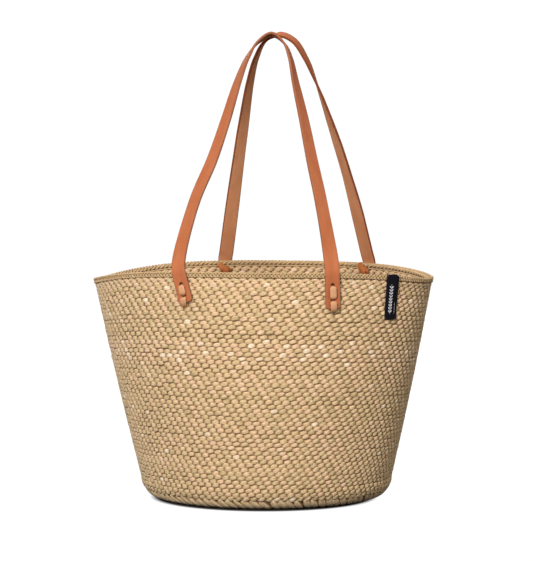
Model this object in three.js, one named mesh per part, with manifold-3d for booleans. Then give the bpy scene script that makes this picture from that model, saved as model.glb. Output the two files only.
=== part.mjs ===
// Woven oval shopper basket with two leather carrying handles.
// Millimetres, +Z up, the front faces -Y, the origin is under the middle of the base.
// A stiff twined basket opens from a round base to a long oval mouth.  A plaited band and a
// rolled cord finish its rim.  Each handle is one leather strap, laced to the outside of the
// wall through punched holes.  The strap bends just above its upper lace, so it is made here
// as two fixed ends and one moving arch.

import * as THREE from 'three';
import { mergeVertices } from 'three/addons/utils/BufferGeometryUtils.js';
import Module from 'manifold-3d';

const wasm = await Module();
wasm.setup();

// Gap kept between pieces that touch on the real basket.
const FIT = 0.3;

// Basket shell.
const BODY_HEIGHT = 283;
const RIM_HALF_LENGTH = 210.5;
const RIM_HALF_DEPTH = 137;
const BASE_RADIUS = 133;
const BASE_SHIFT = 5;
const CORNER_REACH = 22;
const CORNER_HEIGHT = 24;
const WALL = 6;
const SIDE_BULGE = 6;
const END_BULGE = 1.5;
const RIM_DIP_LEFT = 17;
const RIM_DIP_RIGHT = 12;
const FOOT_RADIUS = BASE_RADIUS + CORNER_REACH;
const WALL_SEGMENTS = 60;
const WALL_LEVELS = 7;
const CORNER_STEPS = 4;

// Rim: the wall stops below the rim top, under the plaited band and the rolled cord.
const WALL_END = 0.972;
const RIM_SEGMENTS = 60;
const BAND_CENTRE_RISE = 3.75;
const BAND_HALF_HEIGHT = 3.4;
const BAND_INNER = -1.9;
const BAND_OUTER = 1.5;
const BAND_CHAMFER = 0.8;
const CORD_RADIUS = 2.5;
const CORD_INSET = 4.75;
const CORD_RISE = 4.0;
const CORD_SIDES = 8;

// Leather straps: a chamfered rectangle swept along each handle.  A strap rests close to the wall
// up to the rest height and stands further off it at the rim.
const STRAP_WIDTH = 18;
const STRAP_THICKNESS = 3;
const STRAP_CHAMFER = 0.5;
const STRAP_REST_HEIGHT = 243;
const STRAP_REST_GAP = 0.5;
const STRAP_RIM_GAP = 2.2;
const HINGE_HEIGHT = BODY_HEIGHT - 8.5;
const HINGE_GAP = 0.4;
const END_SECTIONS = 9;
const ARCH_SECTIONS = 54;

// Handle arches.  Each leg's centre line is given as x and height, from just above the rim to
// just short of the apex.  Each twist is the turn of the strap about its own length, in degrees,
// at fractions of the way from the rim to the apex.
//
// Each leg's lace goes through the strap at the upper hole and at the middle hole, and through
// the wall again at the foot, which may lie to one side.  Its knot inside the wall may have slid
// towards +X.  Middle, foot and aside are measured from the upper hole.
const FRONT_HANDLE = {
  name: 'front_strap',
  side: -1,
  apexDepth: 9,
  apex: [14, 567],
  left: {
    endX: -68.4,
    endHeight: 246,
    rimX: -78.3,
    points: [
      [-79.5, 301], [-66, 367], [-49, 415], [-36, 463], [-25, 509], [-15.5, 538], [-3.3, 558],
    ],
    twist: [
      [0.12, 29], [0.24, 36], [0.44, 37], [0.6, 42], [0.7, 48], [0.8, 59], [0.88, 71],
      [0.92, 83], [1, 106],
    ],
    lace: { middle: 14.5, foot: 25.8, aside: -3.4, slide: 0 },
  },
  right: {
    endX: 105.5,
    endHeight: 239.5,
    rimX: 103.6,
    points: [
      [101.7, 302], [85.7, 368], [72.4, 415], [59.6, 463], [46.2, 509], [38.2, 538],
      [29.9, 555.5],
    ],
    twist: [
      [0.05, 24], [0.13, 38], [0.22, 47], [0.4, 53], [0.55, 60], [0.7, 70], [0.8, 80],
      [0.9, 90], [1, 106],
    ],
    lace: { middle: 17.5, foot: 31.2, aside: 0.3, slide: 0 },
  },
};
const BACK_HANDLE = {
  name: 'back_strap',
  side: 1,
  apexDepth: 9,
  apex: [20, 567.5],
  left: {
    endX: -64,
    endHeight: 243,
    rimX: -70.5,
    points: [
      [-69, 294], [-54.9, 361], [-44, 412], [-32.8, 462.5], [-21.5, 510], [-11.7, 539],
      [1.1, 559.5],
    ],
    twist: [
      [0.2, 27], [0.37, 44], [0.46, 51], [0.55, 55], [0.71, 70], [0.79, 78], [0.87, 86],
      [0.94, 95], [1, 107],
    ],
    lace: { middle: 14.5, foot: 29.5, aside: 0, slide: -5 },
  },
  right: {
    endX: 116,
    endHeight: 241,
    rimX: 115.3,
    points: [
      [114.6, 294], [101.6, 362], [89.7, 413], [76.1, 462.5], [61.8, 509.5], [50.4, 539],
      [37.1, 560],
    ],
    twist: [
      [0.2, 27], [0.36, 45], [0.5, 51], [0.6, 61], [0.7, 73], [0.76, 84], [0.82, 94],
      [0.92, 101], [1, 107],
    ],
    lace: { middle: 14.5, foot: 29.5, aside: 0, slide: 0 },
  },
};

// Leather laces.  Heights over the wall and places of the knot are measured from the outer wall
// and from the upper hole.
const UPPER_HOLE_HEIGHT = BODY_HEIGHT - 15.5;
const HOLE_RADIUS = 2.5;
const HOLE_SIDES = 12;
const STRAP_DRILL = [-2, 9];
const WALL_DRILL = [-2 * WALL, 5];
const LACE_NECK = 2.1;
const LACE_HALF_WIDTH = 4;
const LACE_HALF_THICKNESS = 1.2;
const LACE_INSIDE = -8;
const LACE_SIDES = 8;
const KNOT_OUT = -11.9;
const KNOT_DOWN = -6;
const KNOT_RADII = [4.2, 4.5, 5];
const TAIL_HALF_WIDTH = 3.3;

// Woven label on the front right of the rim, with a thread stitch at each corner.
const LABEL_WIDTH = 17.5;
const LABEL_HEIGHT = 54;
const LABEL_THICKNESS = 0.8;
const LABEL_X = 171;
const LABEL_LEAN = -3;
const LABEL_TOP = 278.8;
const LABEL_COLUMNS = 4;
const LABEL_ROWS = 8;
const STITCH_LENGTH = 5;
const STITCH_RADIUS = 0.5;

const COLOURS = {
  weave: 0xd8b98c,
  rim: 0xc9a678,
  frontLeather: 0xc8703f,
  backLeather: 0xb9663a,
  lace: 0xd7a078,
  label: 0x16141a,
};

const lerp = THREE.MathUtils.lerp;

function paint(colour, roughness) {
  return new THREE.MeshStandardMaterial({ color: colour, roughness, metalness: 0 });
}

function namedMesh(name, geometry, material) {
  const mesh = new THREE.Mesh(geometry, material);
  mesh.name = name;
  return mesh;
}

// --- solids from rings of points -------------------------------------------------------------

function signedVolume(positions, index) {
  const a = new THREE.Vector3();
  const b = new THREE.Vector3();
  const c = new THREE.Vector3();
  let volume = 0;
  for (let i = 0; i < index.length; i += 3) {
    a.fromArray(positions, 3 * index[i]);
    b.fromArray(positions, 3 * index[i + 1]);
    c.fromArray(positions, 3 * index[i + 2]);
    volume += a.dot(b.cross(c)) / 6;
  }
  return volume;
}

// Joins equal rings of points into one closed body.  An open run gets a cap at each end, made
// of strips between opposite points of the ring; a closed run joins its last ring to its first.
function loft(rings, closed = false) {
  const sides = rings[0].length;
  const positions = [];
  for (const ring of rings) {
    for (const point of ring) {
      positions.push(point.x, point.y, point.z);
    }
  }
  const index = [];
  const quad = (a, b, c, d) => index.push(a, b, c, a, c, d);
  const runs = closed ? rings.length : rings.length - 1;
  for (let r = 0; r < runs; r++) {
    const here = r * sides;
    const next = ((r + 1) % rings.length) * sides;
    for (let s = 0; s < sides; s++) {
      const t = (s + 1) % sides;
      quad(here + s, here + t, next + t, next + s);
    }
  }
  if (!closed) {
    const last = (rings.length - 1) * sides;
    for (let s = 0; s < sides / 2 - 1; s++) {
      const far = sides - 1 - s;
      quad(s, far, far - 1, s + 1);
      quad(last + s, last + s + 1, last + far - 1, last + far);
    }
  }
  if (signedVolume(positions, index) < 0) {
    index.reverse();
  }
  const geometry = new THREE.BufferGeometry();
  geometry.setAttribute('position', new THREE.Float32BufferAttribute(positions, 3));
  geometry.setIndex(index);
  return geometry;
}

function toManifold(geometry) {
  const bare = geometry.clone();
  bare.deleteAttribute('normal');
  bare.deleteAttribute('uv');
  const merged = mergeVertices(bare, 1e-4);
  return new wasm.Manifold(new wasm.Mesh({
    numProp: 3,
    vertProperties: new Float32Array(merged.attributes.position.array),
    triVerts: new Uint32Array(merged.index.array),
  }));
}

function fromManifold(manifold) {
  const mesh = manifold.getMesh();
  const geometry = new THREE.BufferGeometry();
  geometry.setAttribute('position', new THREE.BufferAttribute(mesh.vertProperties, 3));
  geometry.setIndex(new THREE.BufferAttribute(mesh.triVerts, 1));
  return geometry;
}

function joined(geometries) {
  const solids = geometries.map(toManifold);
  return fromManifold(solids.reduce((whole, solid) => whole.add(solid)));
}

function drilled(geometry, drills) {
  const whole = toManifold(geometry);
  return fromManifold(drills.map(toManifold).reduce((rest, tool) => rest.subtract(tool), whole));
}

// --- basket shell ----------------------------------------------------------------------------

function rimHeight(phi) {
  const along = Math.cos(phi);
  const dip = along < 0 ? RIM_DIP_LEFT : RIM_DIP_RIGHT;
  return BODY_HEIGHT - dip * along ** 4;
}

function bulged(rimSize, bulge, level) {
  return lerp(FOOT_RADIUS, rimSize, level) + bulge * Math.sin(Math.PI * level);
}

function wallHalfLength(level) {
  return bulged(RIM_HALF_LENGTH, END_BULGE, level);
}

// A point of the wall: phi runs round the oval from +X, level runs from the foot (0) to the rim
// top (1), inset moves towards the inside.
function wallPoint(phi, level, inset = 0) {
  const halfDepth = bulged(RIM_HALF_DEPTH, SIDE_BULGE, level) - inset;
  return new THREE.Vector3(
    BASE_SHIFT * (1 - level) + (wallHalfLength(level) - inset) * Math.cos(phi),
    halfDepth * Math.sin(phi),
    lerp(CORNER_HEIGHT, rimHeight(phi), level),
  );
}

function wallNormal(phi, level) {
  const step = 1e-3;
  const around = wallPoint(phi + step, level).sub(wallPoint(phi - step, level));
  const up = wallPoint(phi, level + step).sub(wallPoint(phi, level - step));
  return around.cross(up).normalize();
}

// Finds where the outer wall passes through a given x and height, on the front or the back.
function locate(x, height, side) {
  let phi = side * Math.PI / 2;
  let level = 1;
  for (let i = 0; i < 30; i++) {
    level = (height - CORNER_HEIGHT) / (rimHeight(phi) - CORNER_HEIGHT);
    phi = side * Math.acos((x - BASE_SHIFT * (1 - level)) / wallHalfLength(level));
  }
  return { point: wallPoint(phi, level), normal: wallNormal(phi, level), phi, level };
}

function cornerPoint(phi, angle, reach, height) {
  const radius = BASE_RADIUS + FIT / 2 + (reach - FIT / 2) * Math.sin(angle);
  return new THREE.Vector3(
    BASE_SHIFT + radius * Math.cos(phi),
    radius * Math.sin(phi),
    CORNER_HEIGHT - height * Math.cos(angle),
  );
}

function wallProfile(phi) {
  const outside = [];
  const inside = [];
  for (let i = 0; i < CORNER_STEPS; i++) {
    const angle = (Math.PI / 2) * (i / CORNER_STEPS);
    outside.push(cornerPoint(phi, angle, CORNER_REACH, CORNER_HEIGHT));
    inside.push(cornerPoint(phi, angle, CORNER_REACH - WALL, CORNER_HEIGHT - WALL));
  }
  for (let i = 0; i < WALL_LEVELS; i++) {
    const level = WALL_END * i / (WALL_LEVELS - 1);
    outside.push(wallPoint(phi, level));
    inside.push(wallPoint(phi, level, WALL));
  }
  return outside.concat(inside.reverse());
}

function makeWall(drills) {
  const rings = [];
  for (let i = 0; i < WALL_SEGMENTS; i++) {
    rings.push(wallProfile(2 * Math.PI * i / WALL_SEGMENTS));
  }
  return namedMesh('basket_wall', drilled(loft(rings, true), drills), paint(COLOURS.weave, 0.85));
}

function makeBase() {
  const radius = BASE_RADIUS - FIT / 2;
  const disc = new THREE.CylinderGeometry(radius, radius, WALL, WALL_SEGMENTS);
  disc.rotateX(Math.PI / 2);
  disc.rotateZ(Math.PI / 2);
  const mesh = namedMesh('basket_base', disc, paint(COLOURS.weave, 0.85));
  mesh.position.set(BASE_SHIFT, 0, WALL / 2);
  return mesh;
}

// --- rim -------------------------------------------------------------------------------------

// A point by the rim: out is measured from the outer face of the wall, rise from the wall's end.
function rimPoint(phi, out, rise) {
  const level = WALL_END + rise / (rimHeight(phi) - CORNER_HEIGHT);
  const normal = wallNormal(phi, level);
  normal.z = 0;
  return wallPoint(phi, level).addScaledVector(normal.normalize(), out);
}

function rimRing(section) {
  const rings = [];
  for (let i = 0; i < RIM_SEGMENTS; i++) {
    const phi = 2 * Math.PI * i / RIM_SEGMENTS;
    rings.push(section.map(([out, rise]) => rimPoint(phi, out, rise)));
  }
  return loft(rings, true);
}

function makeRimBraid() {
  const bottom = BAND_CENTRE_RISE - BAND_HALF_HEIGHT;
  const top = BAND_CENTRE_RISE + BAND_HALF_HEIGHT;
  const section = [
    [BAND_OUTER - BAND_CHAMFER, bottom],
    [BAND_OUTER, bottom + BAND_CHAMFER],
    [BAND_OUTER, top - BAND_CHAMFER],
    [BAND_OUTER - BAND_CHAMFER, top],
    [BAND_INNER, top],
    [BAND_INNER, bottom],
  ];
  return namedMesh('rim_braid', rimRing(section), paint(COLOURS.rim, 0.85));
}

function makeRimCord() {
  const section = [];
  for (let i = 0; i < CORD_SIDES; i++) {
    const angle = 2 * Math.PI * (i + 0.5) / CORD_SIDES;
    const out = -CORD_INSET + CORD_RADIUS * Math.cos(angle);
    section.push([out, CORD_RISE + CORD_RADIUS * Math.sin(angle)]);
  }
  return namedMesh('rim_cord', rimRing(section), paint(COLOURS.rim, 0.85));
}

// --- handles ---------------------------------------------------------------------------------

function strapGap(height) {
  const rise = (height - STRAP_REST_HEIGHT) / (HINGE_HEIGHT - STRAP_REST_HEIGHT);
  return lerp(STRAP_REST_GAP, STRAP_RIM_GAP, THREE.MathUtils.clamp(rise, 0, 1));
}

function onWall(x, height, side) {
  const spot = locate(x, height, side);
  return spot.point.addScaledVector(spot.normal, strapGap(height) + STRAP_THICKNESS / 2);
}

// Centre line of one leg, from the strap's end up to just before the apex.
function legPoints(handle, leg) {
  const points = [];
  for (const share of [0, 0.3, 0.6, 0.8, 1]) {
    const height = lerp(leg.endHeight, BODY_HEIGHT, share);
    points.push(onWall(lerp(leg.endX, leg.rimX, share), height, handle.side));
  }
  const rimDepth = points[points.length - 1].y;
  for (const [x, height] of leg.points) {
    const rise = (height - BODY_HEIGHT) / (handle.apex[1] - BODY_HEIGHT);
    const depth = lerp(rimDepth, handle.side * handle.apexDepth, rise);
    points.push(new THREE.Vector3(x, depth, height));
  }
  return points;
}

function handlePath(handle) {
  const [x, height] = handle.apex;
  const apex = new THREE.Vector3(x, handle.side * handle.apexDepth, height);
  const left = legPoints(handle, handle.left);
  const right = legPoints(handle, handle.right).reverse();
  return new THREE.CatmullRomCurve3([...left, apex, ...right], false, 'centripetal');
}

// Share of the path's length at which one leg reaches a height.
function shareAtHeight(path, height, direction) {
  let low = 0;
  let high = 0.3;
  for (let i = 0; i < 40; i++) {
    const middle = (low + high) / 2;
    const share = direction < 0 ? middle : 1 - middle;
    if (path.getPointAt(share).z < height) {
      low = middle;
    } else {
      high = middle;
    }
  }
  return direction < 0 ? low : 1 - low;
}

// Share of the path's length at the apex, found from its x.
function shareAtApex(handle, path) {
  let low = 0.3;
  let high = 0.7;
  for (let i = 0; i < 40; i++) {
    const middle = (low + high) / 2;
    if (path.getPointAt(middle).x < handle.apex[0]) {
      low = middle;
    } else {
      high = middle;
    }
  }
  return low;
}

// Reads a list of fraction and twist pairs, starting from the twist at the rim.
function twistAt(twists, rimTwist, fraction) {
  let before = [0, rimTwist];
  for (const after of twists) {
    if (fraction <= after[0]) {
      const share = (fraction - before[0]) / (after[0] - before[0]);
      return lerp(before[1], after[1], share);
    }
    before = after;
  }
  return before[1];
}

// Directions at a point of a handle: along the strap, the way the bag's face looks, and out of
// the arch.
function strapAxes(handle, path, share) {
  const along = path.getTangentAt(share);
  const face = new THREE.Vector3(0, handle.side, 0);
  face.addScaledVector(along, -face.dot(along)).normalize();
  const out = face.clone().cross(along).multiplyScalar(-handle.side);
  return { along, face, out };
}

function wallTwist(handle, path, share) {
  const { face, out } = strapAxes(handle, path, share);
  const point = path.getPointAt(share);
  const normal = locate(point.x, Math.min(point.z, BODY_HEIGHT), handle.side).normal;
  return THREE.MathUtils.radToDeg(Math.atan2(normal.dot(out), normal.dot(face)));
}

// The eight corners of the strap at one place on its path.
function strapSection(handle, path, share, twist) {
  const { along, face, out } = strapAxes(handle, path, share);
  const angle = THREE.MathUtils.degToRad(twist);
  const grain = face.multiplyScalar(Math.cos(angle)).addScaledVector(out, Math.sin(angle));
  const across = along.cross(grain);
  const w = STRAP_WIDTH / 2;
  const t = STRAP_THICKNESS / 2;
  const c = STRAP_CHAMFER;
  const corners = [
    [c - w, t], [w - c, t], [w, t - c], [w, c - t], [w - c, -t], [c - w, -t], [-w, c - t], [-w, t - c],
  ];
  const centre = path.getPointAt(share);
  return corners.map(([a, g]) => centre.clone().addScaledVector(across, a).addScaledVector(grain, g));
}

function twistAtShare(handle, path, share, marks) {
  if (share <= marks.left || share >= marks.right) {
    return wallTwist(handle, path, share);
  }
  const onLeft = share < marks.apex;
  const rim = onLeft ? marks.left : marks.right;
  const leg = onLeft ? handle.left : handle.right;
  const fraction = (share - rim) / (marks.apex - rim);
  return twistAt(leg.twist, wallTwist(handle, path, rim), fraction);
}

function strapPiece(handle, path, from, to, sections) {
  const marks = {
    left: shareAtHeight(path, BODY_HEIGHT, -1),
    apex: shareAtApex(handle, path),
    right: shareAtHeight(path, BODY_HEIGHT, 1),
  };
  const rings = [];
  for (let i = 0; i <= sections; i++) {
    const share = lerp(from, to, i / sections);
    rings.push(strapSection(handle, path, share, twistAtShare(handle, path, share, marks)));
  }
  return loft(rings);
}

function makeHandle(handle, colour) {
  const path = handlePath(handle);
  const gap = HINGE_GAP / path.getLength();
  const left = shareAtHeight(path, HINGE_HEIGHT, -1);
  const right = shareAtHeight(path, HINGE_HEIGHT, 1);
  const material = paint(colour, 0.5);
  const ties = [tieFrame(handle, path, handle.left, -1), tieFrame(handle, path, handle.right, 1)];
  const leftEnd = strapPiece(handle, path, 0, left, END_SECTIONS);
  const rightEnd = strapPiece(handle, path, right, 1, END_SECTIONS);
  const arch = strapPiece(handle, path, left + gap, right - gap, ARCH_SECTIONS);
  return {
    arch: namedMesh(handle.name, arch, material),
    ends: [
      namedMesh(`${handle.name}_left_end`, drilled(leftEnd, strapDrills(ties[0])), material.clone()),
      namedMesh(`${handle.name}_right_end`, drilled(rightEnd, strapDrills(ties[1])), material.clone()),
    ],
    ties,
  };
}

// --- laces -----------------------------------------------------------------------------------

// A lace's measures and its axes: origin on the outer wall at the upper hole, out of the wall,
// down the strap and across it.
function tieFrame(handle, path, leg, direction) {
  const share = shareAtHeight(path, UPPER_HOLE_HEIGHT, direction);
  const centre = path.getPointAt(share);
  const spot = locate(centre.x, centre.z, handle.side);
  const out = spot.normal;
  const down = path.getTangentAt(share).multiplyScalar(direction);
  down.addScaledVector(out, -down.dot(out)).normalize();
  const across = out.clone().cross(down);
  const origin = centre.addScaledVector(out, -strapGap(centre.z) - STRAP_THICKNESS / 2);
  return { origin, out, down, across, ...leg.lace };
}

function tiePoint(tie, out, down, across = 0) {
  return tie.origin.clone()
    .addScaledVector(tie.out, out)
    .addScaledVector(tie.down, down)
    .addScaledVector(tie.across, across);
}

function drill(tie, [from, to], down, across = 0) {
  const cylinder = new THREE.CylinderGeometry(HOLE_RADIUS, HOLE_RADIUS, to - from, HOLE_SIDES);
  const turn = new THREE.Quaternion().setFromUnitVectors(new THREE.Vector3(0, 1, 0), tie.out);
  cylinder.applyQuaternion(turn);
  const centre = tiePoint(tie, (from + to) / 2, down, across);
  cylinder.translate(centre.x, centre.y, centre.z);
  return cylinder;
}

function strapDrills(tie) {
  return [drill(tie, STRAP_DRILL, 0), drill(tie, STRAP_DRILL, tie.middle)];
}

function wallDrills(tie) {
  return [
    drill(tie, WALL_DRILL, 0),
    drill(tie, WALL_DRILL, tie.middle),
    drill(tie, WALL_DRILL, tie.foot, tie.aside),
  ];
}

// Sweeps a flattened round section through points given as out, down, across, half width and
// half thickness.
function laceRun(tie, stations, widthAxis) {
  const points = stations.map(([out, down, across]) => tiePoint(tie, out, down, across));
  const rings = points.map((point, i) => {
    const before = points[Math.max(i - 1, 0)];
    const after = points[Math.min(i + 1, points.length - 1)];
    const along = after.clone().sub(before).normalize();
    const width = widthAxis.clone().addScaledVector(along, -widthAxis.dot(along)).normalize();
    const thick = along.clone().cross(width);
    const ring = [];
    for (let s = 0; s < LACE_SIDES; s++) {
      const angle = 2 * Math.PI * (s + 0.5) / LACE_SIDES;
      ring.push(point.clone()
        .addScaledVector(width, stations[i][3] * Math.cos(angle))
        .addScaledVector(thick, stations[i][4] * Math.sin(angle)));
    }
    return ring;
  });
  return loft(rings);
}

function laceKnot(tie) {
  const ball = new THREE.SphereGeometry(1, 10, 8);
  const [deep, tall, wide] = KNOT_RADII;
  ball.scale(deep, tall, wide);
  const turn = new THREE.Matrix4().makeBasis(tie.out, tie.down, tie.across);
  const centre = tiePoint(tie, KNOT_OUT, KNOT_DOWN, tie.slide * Math.sign(tie.across.x));
  ball.applyMatrix4(turn.setPosition(centre));
  return ball;
}

// One lace: out through the upper hole and in at the middle one, out again and in at a hole
// in the wall below the strap's end, back up inside, knotted, with two short tails.  Each
// station is out, down, across, half width and half thickness.
function makeTie(name, tie) {
  const n = LACE_NECK;
  const w = LACE_HALF_WIDTH;
  const t = LACE_HALF_THICKNESS;
  const tail = TAIL_HALF_WIDTH;
  const m = tie.middle;
  const f = tie.foot;
  const a = tie.aside;
  const toRight = Math.sign(tie.across.x);
  const knot = (aside) => (aside + tie.slide) * toRight;
  const upper = [
    [LACE_INSIDE, 0, 0, n, n], [1, 0, 0, n, n], [5, 0.3, 0, n, 1.8], [6.4, 1.5, 0, 2.7, 1.4],
    [6.9, 3.8, 0, w, t], [6.8, m / 2, 0, w, t], [6.6, m - 3.6, 0, w, t], [6, m - 1.4, 0, 2.7, 1.4],
    [4.9, m - 0.3, 0, n, 1.8], [1, m, 0, n, n], [LACE_INSIDE, m, 0, n, n],
  ];
  const lower = [
    [LACE_INSIDE, m, 0, n, n], [1, m, 0, n, n], [4.9, m + 0.3, 0, n, 1.8], [6, m + 1.4, 0, 2.7, 1.4],
    [6.4, m + 3.5, a / 4, w, t], [6.2, (m + f) / 2, a / 2, w, t], [5.6, f - 4, 0.7 * a, w, t],
    [4, f - 1.5, 0.9 * a, 2.8, 1.5], [1.6, f - 0.3, a, n, 1.9], [-1, f, a, n, n],
    [LACE_INSIDE, f, a, n, n],
  ];
  const inner = [
    [-7.7, KNOT_DOWN, 0, w, t], [-7.7, m, 0, w, t], [-7.7, f + 2, a, w, t],
  ];
  const tailUp = [
    [KNOT_OUT, KNOT_DOWN + 1, knot(1), 2.8, t], [KNOT_OUT - 1.5, -11, knot(-2), tail, t],
    [KNOT_OUT - 0.2, -15.5, knot(-4.3), tail, t],
  ];
  const tailSide = [
    [KNOT_OUT, KNOT_DOWN, knot(1), 2.4, t], [KNOT_OUT - 1.2, KNOT_DOWN + 0.3, knot(5), 2.8, t],
    [KNOT_OUT, KNOT_DOWN + 0.6, knot(8.6), 2.6, t],
  ];
  const lace = joined([
    laceRun(tie, upper, tie.across),
    laceRun(tie, lower, tie.across),
    laceRun(tie, inner, tie.across),
    laceRun(tie, tailUp, tie.across),
    laceRun(tie, tailSide, tie.down),
    laceKnot(tie),
  ]);
  return namedMesh(name, lace, paint(COLOURS.lace, 0.6));
}

// --- label -----------------------------------------------------------------------------------

// A point over the label: across and down from the middle of its top edge, lift off its back.
function labelPoint(across, down, lift) {
  const height = LABEL_TOP - down;
  const middleX = LABEL_X + LABEL_LEAN * down / LABEL_HEIGHT;
  const { normal } = locate(middleX, height, -1);
  const sideways = new THREE.Vector3(-normal.y, normal.x, 0).normalize();
  const spot = locate(middleX + across * sideways.x, height, -1);
  return spot.point.addScaledVector(spot.normal, strapGap(height) + lift);
}

function makeLabel() {
  const rings = [];
  for (let r = 0; r <= LABEL_ROWS; r++) {
    const down = LABEL_HEIGHT * r / LABEL_ROWS;
    const back = [];
    const front = [];
    for (let c = 0; c <= LABEL_COLUMNS; c++) {
      const across = LABEL_WIDTH * (c / LABEL_COLUMNS - 0.5);
      back.push(labelPoint(across, down, 0));
      front.push(labelPoint(across, down, LABEL_THICKNESS));
    }
    rings.push(front.concat(back.reverse()));
  }
  return namedMesh('label', loft(rings), paint(COLOURS.label, 0.8));
}

// A short slanted thread over one corner of the label.
function makeStitch(name, right, top, colour) {
  const inset = STITCH_LENGTH / 2;
  const across = right * (LABEL_WIDTH / 2 - inset * 0.4);
  const down = top ? inset * 0.7 : LABEL_HEIGHT - inset * 0.7;
  const slope = right * (top ? 1 : -1);
  const lift = LABEL_THICKNESS + FIT + STITCH_RADIUS;
  const half = inset * Math.SQRT1_2;
  const start = labelPoint(across - half, down - slope * half, lift);
  const end = labelPoint(across + half, down + slope * half, lift);
  const thread = new THREE.CylinderGeometry(STITCH_RADIUS, STITCH_RADIUS, start.distanceTo(end), 8);
  const mesh = namedMesh(name, thread, paint(colour, 0.8));
  mesh.position.copy(start).add(end).multiplyScalar(0.5);
  mesh.quaternion.setFromUnitVectors(new THREE.Vector3(0, 1, 0), end.sub(start).normalize());
  return mesh;
}

// --- assembly --------------------------------------------------------------------------------

const basket = new THREE.Group();
const front = makeHandle(FRONT_HANDLE, COLOURS.frontLeather);
const back = makeHandle(BACK_HANDLE, COLOURS.backLeather);
const ties = [...front.ties, ...back.ties];
const tieNames = ['front_left_tie', 'front_right_tie', 'back_left_tie', 'back_right_tie'];

basket.add(makeBase());
basket.add(makeWall(ties.flatMap(wallDrills)));
basket.add(makeRimBraid(), makeRimCord());
basket.add(...front.ends, ...back.ends);
ties.forEach((tie, i) => basket.add(makeTie(tieNames[i], tie)));
basket.add(makeLabel());
basket.add(makeStitch('label_stitch_top_left', -1, true, COLOURS.label));
basket.add(makeStitch('label_stitch_top_right', 1, true, COLOURS.weave));
basket.add(makeStitch('label_stitch_bottom_left', -1, false, COLOURS.label));
basket.add(makeStitch('label_stitch_bottom_right', 1, false, COLOURS.label));

const frontHandle = new THREE.Group();
frontHandle.add(front.arch);
const backHandle = new THREE.Group();
backHandle.add(back.arch);
basket.add(frontHandle, backHandle);

export default basket;
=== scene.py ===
"""Looks of a woven oval shopper basket with two leather handles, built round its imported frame.

Everything is in metres, +Z up, with the front of the basket facing -Y.
"""

import math

import bpy
import numpy as np
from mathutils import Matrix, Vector


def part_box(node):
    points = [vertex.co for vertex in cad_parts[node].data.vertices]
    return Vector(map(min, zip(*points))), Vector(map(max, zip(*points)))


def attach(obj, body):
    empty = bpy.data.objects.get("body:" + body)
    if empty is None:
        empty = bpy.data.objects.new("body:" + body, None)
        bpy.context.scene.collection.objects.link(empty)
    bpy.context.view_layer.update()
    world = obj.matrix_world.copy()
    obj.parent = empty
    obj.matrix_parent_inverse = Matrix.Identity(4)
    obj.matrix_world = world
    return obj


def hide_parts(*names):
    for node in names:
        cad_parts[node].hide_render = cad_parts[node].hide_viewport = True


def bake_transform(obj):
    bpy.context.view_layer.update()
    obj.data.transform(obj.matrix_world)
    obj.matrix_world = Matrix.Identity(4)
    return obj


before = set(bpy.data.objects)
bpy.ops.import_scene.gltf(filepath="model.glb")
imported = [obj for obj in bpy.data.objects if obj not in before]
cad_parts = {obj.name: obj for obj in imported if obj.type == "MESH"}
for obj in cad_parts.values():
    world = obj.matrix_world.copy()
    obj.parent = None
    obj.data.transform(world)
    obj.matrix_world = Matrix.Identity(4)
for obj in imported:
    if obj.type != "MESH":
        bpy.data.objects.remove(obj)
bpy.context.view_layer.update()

MM = 0.001
rng = np.random.default_rng(20)

# --- driving dimensions ---

# Read from the frame.
wall_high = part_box("basket_wall")[1]
base_low, base_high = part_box("basket_base")
braid_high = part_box("rim_braid")[1]

WALL = base_high.z - base_low.z
BAND_OUT = 1.5 * MM
FOOT_RADIUS = wall_high.y
BASE_RADIUS = (base_high.x - base_low.x) / 2
BASE_SHIFT = (base_high.x + base_low.x) / 2
RIM_HALF_LENGTH = braid_high.x - BAND_OUT
BODY_HEIGHT = braid_high.z
RIM_HALF_DEPTH = 137 * MM

# Shape of the shell between those.
CORNER_HEIGHT = 24 * MM
CORNER_REACH = FOOT_RADIUS - BASE_RADIUS
SIDE_BULGE = 6 * MM
END_BULGE = 1.5 * MM
RIM_DIP_LEFT = 17 * MM
RIM_DIP_RIGHT = 12 * MM
WALL_END = 0.972

# The weave: rows are counted down from the top of the wall, round the foot and into the base.
# The top row is lower and lies straighter than the others.
WALL_ROWS = 50
CORNER_ROWS = 7
BASE_ROWS = 26
ROWS_PER_PIECE = 10
STITCHES = 102
BASE_STITCH = 9.4 * MM
STEPS_PER_STITCH = 6
STRAND_SIDES = 8
ROW_PITCH = 5 * MM
ROW_SHIFT = 0.31
STRAND_HALF_HEIGHT = 3.15 * MM
STRAND_HALF_THICK = 1.3 * MM
STRAND_SWING = 1.95 * MM
STRAND_SLANT = 0.55 * MM
ROW_DRIFT = 0.6
PALE_BAND = (15.5, 19.5)
TOP_ROW = 0.42
TOP_ROW_HEIGHT = 0.7
TOP_ROW_SLANT = 0.3
CROWDING = 0.25
CROWDED_ROWS = 6
TUFT_ROWS = (52.5, 57.4)
TUFT_PITCH = 10 * MM
TUFT_HALF_WIDTH = 4.9 * MM
TUFT_HALF_THICK = 2.6 * MM
TUFT_LEAN = 8 * MM
RIBS_PER_STITCH = 2
RIB_STEPS = 4

# How unevenly it was made by hand: standard deviations of each row and of each stitch.
ROW_SIZE_SPREAD = 0.05
ROW_LIFT_SPREAD = 0.08 * MM
STITCH_SIZE_SPREAD = 0.10
STITCH_LIFT_SPREAD = 0.10 * MM
STITCH_NUDGE_SPREAD = 0.16

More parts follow.
